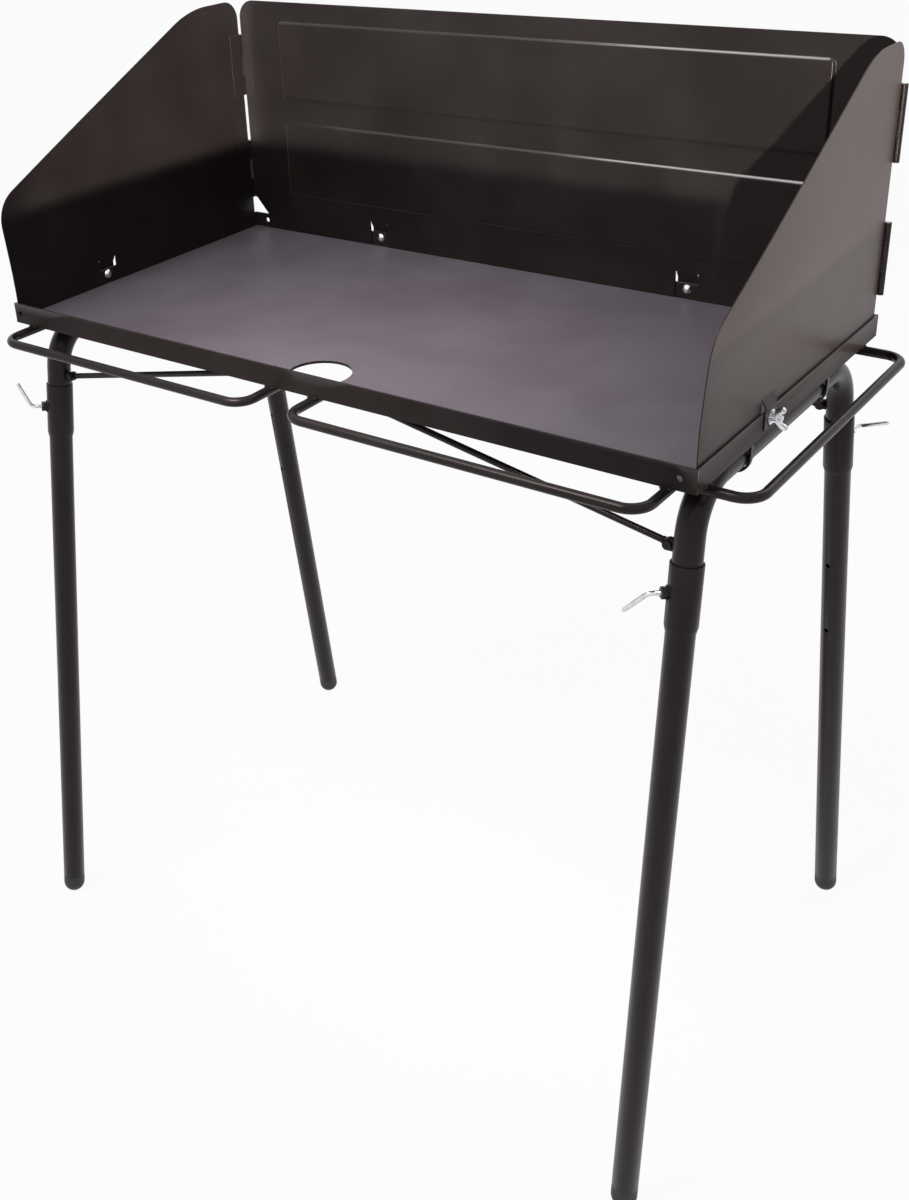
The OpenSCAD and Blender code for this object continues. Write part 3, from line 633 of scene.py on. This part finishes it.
@dataclass
class ToolRacks:
    """Bent rods under the front and right rails, with the welds that hold them.

    Attributes:
        shop: where the pieces are made.
        rod: diameter of the rods.
        tail: length of a rod's arm under the rail.
        weld_w: width of the weld beads.
        weld_drop: depth of their middle below the top of the rod.
        weld_inset: distance of their middle inside the rod's side.
        weld_from, weld_to: the stretch of the arm that they cover, as shares of its length.
        nodes: the racks.
    """

    shop: Workshop
    rod: float = 9.5 * MM
    tail: float = 20 * MM
    weld_w: float = 3.6 * MM
    weld_drop: float = 1.0 * MM
    weld_inset: float = 1.2 * MM
    weld_from: float = 0.1
    weld_to: float = 0.95
    nodes: tuple[str, ...] = ("rack_front_left", "rack_front_right", "rack_side")

    def build(self) -> None:
        """Finishes the rods and welds both sides of each arm to its rail."""
        self.shop.keep(self.nodes, TUBE_COAT)
        welds = Welds(self.shop, width=self.weld_w)
        for node in self.nodes:
            welds.make(node + "_welds", self.lines(node), BODY_OF[node])

    def lines(self, node: str) -> list[tuple[Point, Point]]:
        """The weld lines of one rack, beside its arms and along the rail."""
        low, high = (Vector(v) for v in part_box(node))
        along, across = (X, Y) if node.startswith("rack_front") else (Y, X)
        inner = high[Y] if along == X else low[X]
        step = -self.tail if along == X else self.tail
        lines = []
        for arm in (low[along] + self.rod / 2, high[along] - self.rod / 2):
            for side in (-1, 1):
                start = Vector((0, 0, high.z - self.weld_drop))
                start[along] = arm + side * (self.rod / 2 - self.weld_inset)
                start[across] = inner + step * self.weld_from
                end = start.copy()
                end[across] = inner + step * self.weld_to
                lines.append((tuple(start), tuple(end)))
        return lines


@dataclass
class Windscreen:
    """Back panel with embossed fields, bowed side panels, hinges.

    Attributes:
        shop: where the pieces are made.
        sheet: thickness of the panels.
        sheet_edge, leaf_edge: roundings of the side panels and the hinge leaves.
        bow, bow_run, bow_rise: how far a side panel bows out, over which length and which height.
        side_cuts: parts into which a side panel is cut along Y and Z, so that it can bend.
        back_cuts: parts into which the back panel is cut along X and Z.
        back_sharp: degrees beyond which an edge of the back panel stays crisp.
        rail_top: height of the rails' top edges.
        corner, corner_steps: radius of the back panel's top corners and the steps of their arcs.
        relief_w, relief_h: width and slanted height of the reliefs at its lower corners.
        tab_at: distance of its tabs from the middle.
        notch_w, notch_top: width of the notch round a tab and height of its top.
        tab_gap: how far below the notch's top a tab ends.
        field_end, field_top, field_band: distance of the fields from the ends, the top and each other.
        field_h, field_rise: their height and relief.
        field_slope, field_corner: width of their slopes and radius of their corners.
        slope_span, slope_cuts: where the slopes are cut, in widths of slope, and into how many parts.
        burnish_power: how narrowly the shine keeps to the middle of a slope.
    """

    shop: Workshop
    sheet: float = 1.0 * MM
    sheet_edge: float = 0.22 * MM
    leaf_edge: float = 0.45 * MM
    bow: float = 6.0 * MM
    bow_run: float = 360 * MM
    bow_rise: float = 110 * MM
    side_cuts: tuple[int, int] = (24, 18)
    back_cuts: tuple[int, int] = (16, 10)
    back_sharp: float = 50.0
    rail_top: float = 800 * MM
    corner: float = 22 * MM
    corner_steps: int = 12
    relief_w: float = 21 * MM
    relief_h: float = 24 * MM
    tab_at: float = 206 * MM
    notch_w: float = 26.4 * MM
    notch_top: float = 812 * MM
    tab_gap: float = 0.01 * MM
    field_end: float = 61 * MM
    field_top: float = 22 * MM
    field_h: float = 94 * MM
    field_band: float = 26 * MM
    field_rise: float = 2.2 * MM
    field_slope: float = 4.0 * MM
    field_corner: float = 7 * MM
    slope_span: tuple[float, float] = (-0.1, 2.2)
    slope_cuts: int = 12
    burnish_power: int = 3

    def build(self) -> None:
        """Makes the three panels and the hinges."""
        self.side("panel_left", Side.LEFT)
        self.side("panel_right", Side.RIGHT)
        self.back()
        for name in ("back", "left", "right"):
            self.shop.round_copy("hinge_leaves_" + name, HINGE_COAT, Slot.PANEL, self.leaf_edge, flat=True)
        self.shop.keep(["hinge_pins"], ZINC)

    def side(self, node: str, side: Side) -> None:
        """A side panel: the flat sheet, bowed outwards towards its nose."""
        bm = self.shop.copy_mesh(node)
        LOG.info("trimmed %d points of %s", trim_whiskers(bm), node)
        round_edges(bm, self.sheet_edge)
        low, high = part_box(node)
        slice_grid(bm, Y, spaced(low[Y], high[Y], self.side_cuts[0])[1:-1])
        slice_grid(bm, Z, spaced(low[Z], high[Z], self.side_cuts[1])[1:-1])
        for vert in bm.verts:
            ahead = smoothstep(high[Y] - vert.co.y, 0.0, self.bow_run)
            up = smoothstep(vert.co.z, self.notch_top, self.notch_top + self.bow_rise)
            vert.co.x += side.value * self.bow * ahead * up
        self.shop.add(node + "_dressed", bm, PANEL_COAT, Slot.PANEL, BODY_OF[node], [node], flat=True)

    def back_outline(self, half: float, low: float, top: float) -> list[Spot]:
        """The back panel's outline, with round top corners, slanted reliefs and notches for the tabs."""
        cut = self.notch_w / 2
        right = [(self.tab_at - cut, low), (self.tab_at - cut, self.notch_top),
                 (self.tab_at + cut, self.notch_top), (self.tab_at + cut, low),
                 (half - self.relief_w, low), (half - self.relief_w, self.rail_top),
                 (half, self.rail_top + self.relief_h)]
        right += arc((half - self.corner, top - self.corner), self.corner, 0, 90, self.corner_steps)
        return right + [(-x, z) for x, z in reversed(right)]

    def emboss(self, x: float, z: float, half: float, low: float) -> float:
        """How far an embossed field, a rectangle with round corners, stands out at a point."""
        a = half - self.field_end - self.field_corner
        b = self.field_h / 2 - self.field_corner
        dx = abs(x) - a
        dz = abs(z - low - self.field_h / 2) - b
        outside = math.hypot(max(dx, 0.0), max(dz, 0.0)) + min(max(dx, dz), 0.0) - self.field_corner
        return self.field_rise * smoothstep(-outside, 0.0, self.field_slope)

    def back(self) -> None:
        """The back panel: a sheet with two embossed fields and its two tabs."""
        node = "panel_back"
        low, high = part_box(node)
        half = (high[X] - low[X]) / 2
        middle = (high[X] + low[X]) / 2
        bm = bmesh.new()
        burnished = bm.verts.layers.float.new(BURNISHED)
        points = self.back_outline(half, low[Z], high[Z])
        bm.faces.new([bm.verts.new((x, 0.0, z)) for x, z in points])
        fields = [high[Z] - self.field_top - self.field_h]
        fields.append(fields[0] - self.field_band - self.field_h)
        slopes = [self.field_slope * t for t in spaced(*self.slope_span, self.slope_cuts)]
        ends = [sign * (half - self.field_end - s) for sign in (-1, 1) for s in slopes]
        rows = [z + s for z in fields for s in slopes]
        rows += [z + self.field_h - s for z in fields for s in slopes]
        slice_grid(bm, X, ends + spaced(-half, half, self.back_cuts[0])[1:-1])
        slice_grid(bm, Z, rows + spaced(low[Z], high[Z], self.back_cuts[1])[1:-1])
        for vert in bm.verts:
            rise = sum(self.emboss(vert.co.x, vert.co.z, half, z) for z in fields)
            share = rise / self.field_rise
            # 1 half way up a slope, 0 at its foot and its top
            vert[burnished] = (4.0 * share * (1.0 - share)) ** self.burnish_power
            vert.co.y = -rise
        bmesh.ops.recalc_face_normals(bm, faces=bm.faces)
        bmesh.ops.solidify(bm, geom=bm.faces[:], thickness=self.sheet)
        front = min(vert.co.y for vert in bm.verts)
        bmesh.ops.translate(bm, verts=bm.verts, vec=(middle, low[Y] - front, 0))
        self.add_tabs(bm, node, middle)
        name = node + "_dressed"
        self.shop.add(name, bm, PANEL_COAT, Slot.PANEL, BODY_OF[node], [node], sharp=self.back_sharp)

    def add_tabs(self, bm: bmesh.types.BMesh, node: str, middle: float) -> None:
        """Adds the lanced tabs, cut from a copy of the panel."""
        for sign in (-1, 1):
            tab = self.shop.copy_mesh(node)
            at = middle + sign * self.tab_at
            for normal, place in (((1, 0, 0), at + self.notch_w / 2),
                                  ((-1, 0, 0), at - self.notch_w / 2),
                                  ((0, 0, 1), self.notch_top - self.tab_gap)):
                spot = Vector([abs(n) * place for n in normal])
                geom = tab.verts[:] + tab.edges[:] + tab.faces[:]
                bmesh.ops.bisect_plane(tab, geom=geom, dist=CUT_GRIP, plane_co=spot, plane_no=normal,
                                       clear_outer=True)
            bmesh.ops.holes_fill(tab, edges=tab.edges)
            mesh = bpy.data.meshes.new("tab")
            tab.to_mesh(mesh)
            tab.free()
            bm.from_mesh(mesh)
            bpy.data.meshes.remove(mesh)


@dataclass
class Thread:
    """A screw thread: one ridge wound along a rod.

    Attributes:
        radius: radius of the rod.
        pitch: rise of the ridge in a turn.
        depth: height of the ridge.
        flank: half the width of its foot, in pitches.
        sink: how deep the foot lies in the rod.
        steps: parts of a turn.
    """

    radius: float
    pitch: float = 1.0 * MM
    depth: float = 0.28 * MM
    flank: float = 0.45
    sink: float = 0.05 * MM
    steps: int = 20

    def wind(self, bm: bmesh.types.BMesh, start: Vector, axis: Vector, length: float) -> None:
        """Winds the ridge from start along axis."""
        out = axis.orthogonal().normalized()
        turns = length / self.pitch
        half = self.pitch * self.flank
        root = start + out * (self.radius - self.sink)
        ridge = [root - axis * half, root + out * self.depth, root + axis * half]
        verts = [bm.verts.new(p) for p in ridge]
        face = bm.faces.new(verts)
        count = round(self.steps * turns)
        bmesh.ops.spin(bm, geom=verts + face.edges[:] + [face], cent=start, axis=axis,
                       dvec=axis * (length / count), angle=2 * math.pi * turns, steps=count)
        bmesh.ops.recalc_face_normals(bm, faces=bm.faces)


@dataclass
class TabHardware:
    """Bolts, washers and wing nuts that hold the windscreen's tabs.

    Attributes:
        shop: where the pieces are made.
        nut_edge: rounding of the wing nuts.
        bolt_r: radius of the bolts.
        bare: length of the thread on a bolt's end.
        tip_back: distance of the thread's start from the wing nut's outer end.
        names: the places of the wing nuts.
    """

    shop: Workshop
    nut_edge: float = 0.45 * MM
    bolt_r: float = 3 * MM
    bare: float = 3.0 * MM
    tip_back: float = 7.0 * MM
    names: tuple[str, ...] = ("left", "right", "back_l", "back_r")

    def build(self) -> None:
        """Rounds the wing nuts and threads the bolts' ends."""
        for name in self.names:
            self.shop.round_copy("wingnut_" + name, ZINC, Slot.ZINC, self.nut_edge)
        self.shop.keep(["tab_bolts", "tab_washers"], ZINC)
        bm = bmesh.new()
        thread = Thread(self.bolt_r)
        for joint in frame["joints"]:
            if joint["name"].startswith("wingnut_"):
                axis = Vector(joint["axis"])
                nut = [Vector(v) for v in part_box(joint["child"])]
                tip = max(nut, key=lambda v: v.dot(axis)).dot(axis)
                at = Vector(joint["pos_m"])
                start = at + axis * (tip - at.dot(axis) - self.tip_back)
                thread.wind(bm, start, axis, self.bare)
        self.shop.add("bolt_threads", bm, ZINC, Slot.ZINC, "tray")


@dataclass
class LegSet:
    """Leg frames, lower legs, feet, thumbscrews and stays.

    Attributes:
        shop: where the pieces are made.
        corners: the four legs.
        screw_r: radius of a thumbscrew's rod.
        nut_face: distance of the nut's outer face from the leg's axis.
        neck: length of thread between that face and the lever's bend.
        tube_edge, nut_edge, tip_edge: roundings of the legs, the nuts and the thumbscrews.
        nut_w: width of a nut.
        socket_r: radius of the socket that the nut stands on.
        weld_gap, weld_w, weld_pitch: the weld's distance from the nut, its width and its ripples' distance.
        weld_steps: straight parts of the weld.
    """

    shop: Workshop
    corners: tuple[str, ...] = ("fl", "fr", "rl", "rr")
    screw_r: float = 2.2 * MM
    nut_face: float = 22.0 * MM
    neck: float = 5.0 * MM
    tube_edge: float = 0.35 * MM
    nut_edge: float = 0.5 * MM
    tip_edge: float = 0.3 * MM
    nut_w: float = 11.4 * MM
    socket_r: float = 15.05 * MM
    weld_gap: float = 0.4 * MM
    weld_w: float = 2.6 * MM
    weld_pitch: float = 1.3 * MM
    weld_steps: int = 10

    def build(self) -> None:
        """Finishes the tubes and rods, threads the thumbscrews and welds their nuts."""
        self.shop.keep(["frame_left", "frame_right", "stay_left", "stay_right"], TUBE_COAT)
        self.shop.keep(["stay_rivets_left", "stay_rivets_right"], TUBE_COAT)
        for corner in self.corners:
            self.shop.round_copy("leg_" + corner, TUBE_COAT, Slot.COAT, self.tube_edge)
            self.shop.round_copy("leg_nut_" + corner, TUBE_COAT, Slot.COAT, self.nut_edge)
            self.shop.keep(["foot_" + corner], RUBBER)
            self.shop.round_copy("screw_" + corner, ZINC, Slot.ZINC, self.tip_edge)
        joints = {joint["name"]: joint for joint in frame["joints"]}
        for corner in self.corners:
            self.thread(joints[f"screw_{corner}_turn"])
            self.nut_weld(corner, joints[f"screw_{corner}_turn"], joints[f"leg_{corner}_slide"])

    def thread(self, joint: dict) -> None:
        """The thread that shows between the nut and the lever's bend."""
        bm = bmesh.new()
        axis = Vector(joint["axis"])
        start = Vector(joint["pos_m"]) + axis * self.nut_face
        Thread(self.screw_r).wind(bm, start, axis, self.neck)
        self.shop.add(joint["child"] + "_thread", bm, ZINC, Slot.ZINC, joint["child"])

    def nut_weld(self, corner: str, screw: dict, slide: dict) -> None:
        """The weld round a nut's foot, which follows the socket's curve.

        Args:
            corner: which leg.
            screw: the thumbscrew's joint, whose axis is the nut's.
            slide: the leg's joint, whose axis is the socket's.
        """
        middle = Vector(screw["pos_m"])
        out = Vector(screw["axis"])
        along = Vector(slide["axis"])
        across = out.cross(along)
        reach = self.nut_w / 2 + self.weld_gap
        spots = []
        for i in range(self.weld_steps + 1):
            angle = 2 * math.pi * i / self.weld_steps
            side = reach * math.sin(angle)
            depth = math.sqrt(self.socket_r ** 2 - side ** 2)
            spots.append(middle + out * depth + across * side + along * (reach * math.cos(angle)))
        welds = Welds(self.shop, width=self.weld_w, pitch=self.weld_pitch)
        welds.make(f"leg_nut_{corner}_weld", list(zip(spots, spots[1:])), BODY_OF["leg_" + corner])


@dataclass(frozen=True)
class Lamp:
    """A rectangular softbox.

    Attributes:
        name: the lamp's name.
        place: where it stands.
        target: what it faces.
        size: its width and height.
        watts: its power.
        spread: angle of its light, in degrees.
    """

    name: str
    place: Point
    target: Point
    size: tuple[float, float]
    watts: float
    spread: float = 180.0

    def build(self) -> None:
        """Makes the lamp."""
        data = bpy.data.lights.new(self.name, "AREA")
        data.shape = "RECTANGLE"
        data.size, data.size_y = self.size
        data.energy = self.watts
        data.spread = math.radians(self.spread)
        lamp = bpy.data.objects.new(self.name, data)
        aim = Vector(self.target) - Vector(self.place)
        turn = aim.to_track_quat("-Z", "Y").to_matrix().to_4x4()
        lamp.matrix_world = Matrix.Translation(self.place) @ turn
        bpy.context.scene.collection.objects.link(lamp)


@dataclass
class Studio:
    """Pale floor, white surroundings, soft lamps and the camera at the photograph's angle.

    Attributes:
        camera_at: where the camera stands.
        azimuth, elevation, roll: its angles, in degrees.
        focal_px, middle_px: its focal length and optical middle, in the photograph's pixels.
        image_px: the photograph's width and height.
        sensor: width of the sensor, in millimetres.
        floor_size, floor_colour: the floor's size and colour.
        floor_glow: share of plain white in the floor where it is seen or mirrored.
        fill: strength of the surroundings as a light.
        reach: how far the camera sees.
        lamps: the lamps.
    """

    camera_at: Point = (0.8084, -1.14109, 1.29927)
    azimuth: float = 38.304
    elevation: float = 27.096
    roll: float = -3.24
    focal_px: float = 1400.13
    middle_px: tuple[float, float] = (374.6, 496.74)
    image_px: tuple[int, int] = (909, 1200)
    sensor: float = 36.0
    floor_size: float = 60.0
    floor_colour: Colour = (0.86, 0.86, 0.86)
    floor_glow: float = 0.93
    fill: float = 0.5
    reach: float = 200.0
    lamps: tuple[Lamp, ...] = (
        Lamp("front_softbox", (-0.55, -0.95, 2.6), (0.0, 0.0, 0.8), (0.8, 0.8), 21.0),
        Lamp("back_softbox", (0.5, 1.6, 2.4), (0.0, 0.0, 0.8), (1.2, 1.2), 10.0),
        Lamp("plate_softbox", (0.0, -0.6, 1.45), (0.0, -0.1, 0.79), (0.3, 0.3), 1.25, 60.0),
        Lamp("panel_beam", (0.53, -1.3, 1.10), (-0.003, 0.0, 1.10), (0.94, 0.41), 2.8, 1.0),
        Lamp("left_panel_beam", (0.0775, -1.3, 1.10), (-0.41, 0.0, 1.10), (0.15, 0.41), 0.6, 1.0),
        Lamp("right_panel_beam", (0.848, -1.10, 0.8505), (0.3975, 0.0, 0.8505), (0.152, 0.089), 0.065, 2.0),
    )

    def build(self) -> None:
        """Makes the set."""
        bpy.context.scene.view_settings.view_transform = "Standard"
        self.world()
        self.floor()
        for lamp in self.lamps:
            lamp.build()
        self.camera()

    def seen(self, g: Graph) -> Value:
        """1 for rays that see the surroundings, straight, mirrored or through glass."""
        kinds = ("Is Camera Ray", "Is Glossy Ray", "Is Transmission Ray")
        camera, glossy, through = (g.node("ShaderNodeLightPath", {}, {}, kind) for kind in kinds)
        return camera + glossy + through > 0.5

    def world(self) -> None:
        """White to the eye, softer as a light."""
        world = bpy.data.worlds.new("studio")
        world.use_nodes = True
        bpy.context.scene.world = world
        g = Graph(world.node_tree)
        strength = self.fill + self.seen(g) * (1.0 - self.fill)
        sky = g.node("ShaderNodeBackground", {}, {"Color": (1, 1, 1, 1), "Strength": strength})
        g.node("ShaderNodeOutputWorld", {}, {"Surface": sky})

    def floor(self) -> None:
        """A wide pale floor that keeps a soft shadow."""
        bm = bmesh.new()
        bmesh.ops.create_grid(bm, x_segments=1, y_segments=1, size=self.floor_size)
        mesh = bpy.data.meshes.new("floor")
        bm.to_mesh(mesh)
        bm.free()
        material, g = new_graph("pale_floor")
        matt = g.node("ShaderNodeBsdfDiffuse", {}, {"Color": (*self.floor_colour, 1.0)})
        glow = g.node("ShaderNodeEmission", {}, {"Color": (1, 1, 1, 1), "Strength": 1.0})
        mixed = g.node("ShaderNodeMixShader", {}, {0: self.seen(g) * self.floor_glow, 1: matt, 2: glow})
        g.node("ShaderNodeOutputMaterial", {}, {"Surface": mixed})
        mesh.materials.append(material)
        floor = bpy.data.objects.new("floor", mesh)
        bpy.context.scene.collection.objects.link(floor)

    def camera(self) -> None:
        """The camera that takes the photograph's view."""
        az, el, roll = (math.radians(a) for a in (self.azimuth, self.elevation, self.roll))
        ahead = Vector((-math.sin(az) * math.cos(el), math.cos(az) * math.cos(el), -math.sin(el)))
        level = Vector((math.cos(az), math.sin(az), 0.0))
        right = Matrix.Rotation(-roll, 3, ahead) @ level
        up = right.cross(ahead)
        data = bpy.data.cameras.new("camera")
        wide, tall = self.image_px
        data.sensor_width = self.sensor
        data.lens = self.focal_px * self.sensor / tall
        data.shift_x = (wide / 2 - self.middle_px[0]) / tall
        data.shift_y = (self.middle_px[1] - tall / 2) / tall
        data.clip_end = self.reach
        camera = bpy.data.objects.new("camera", data)
        turn = Matrix((right, up, -ahead)).transposed().to_4x4()
        camera.matrix_world = Matrix.Translation(self.camera_at) @ turn
        bpy.context.scene.collection.objects.link(camera)
        bpy.context.scene.camera = camera


def main() -> None:
    """Builds the table's looks in order."""
    logging.basicConfig(level=logging.INFO, format="%(name)s: %(message)s")
    shop = Workshop()
    Studio().build()
    for assembly in (Tray(shop), ToolRacks(shop), Windscreen(shop), TabHardware(shop), LegSet(shop)):
        assembly.build()


if __name__ == "__main__":
    main()
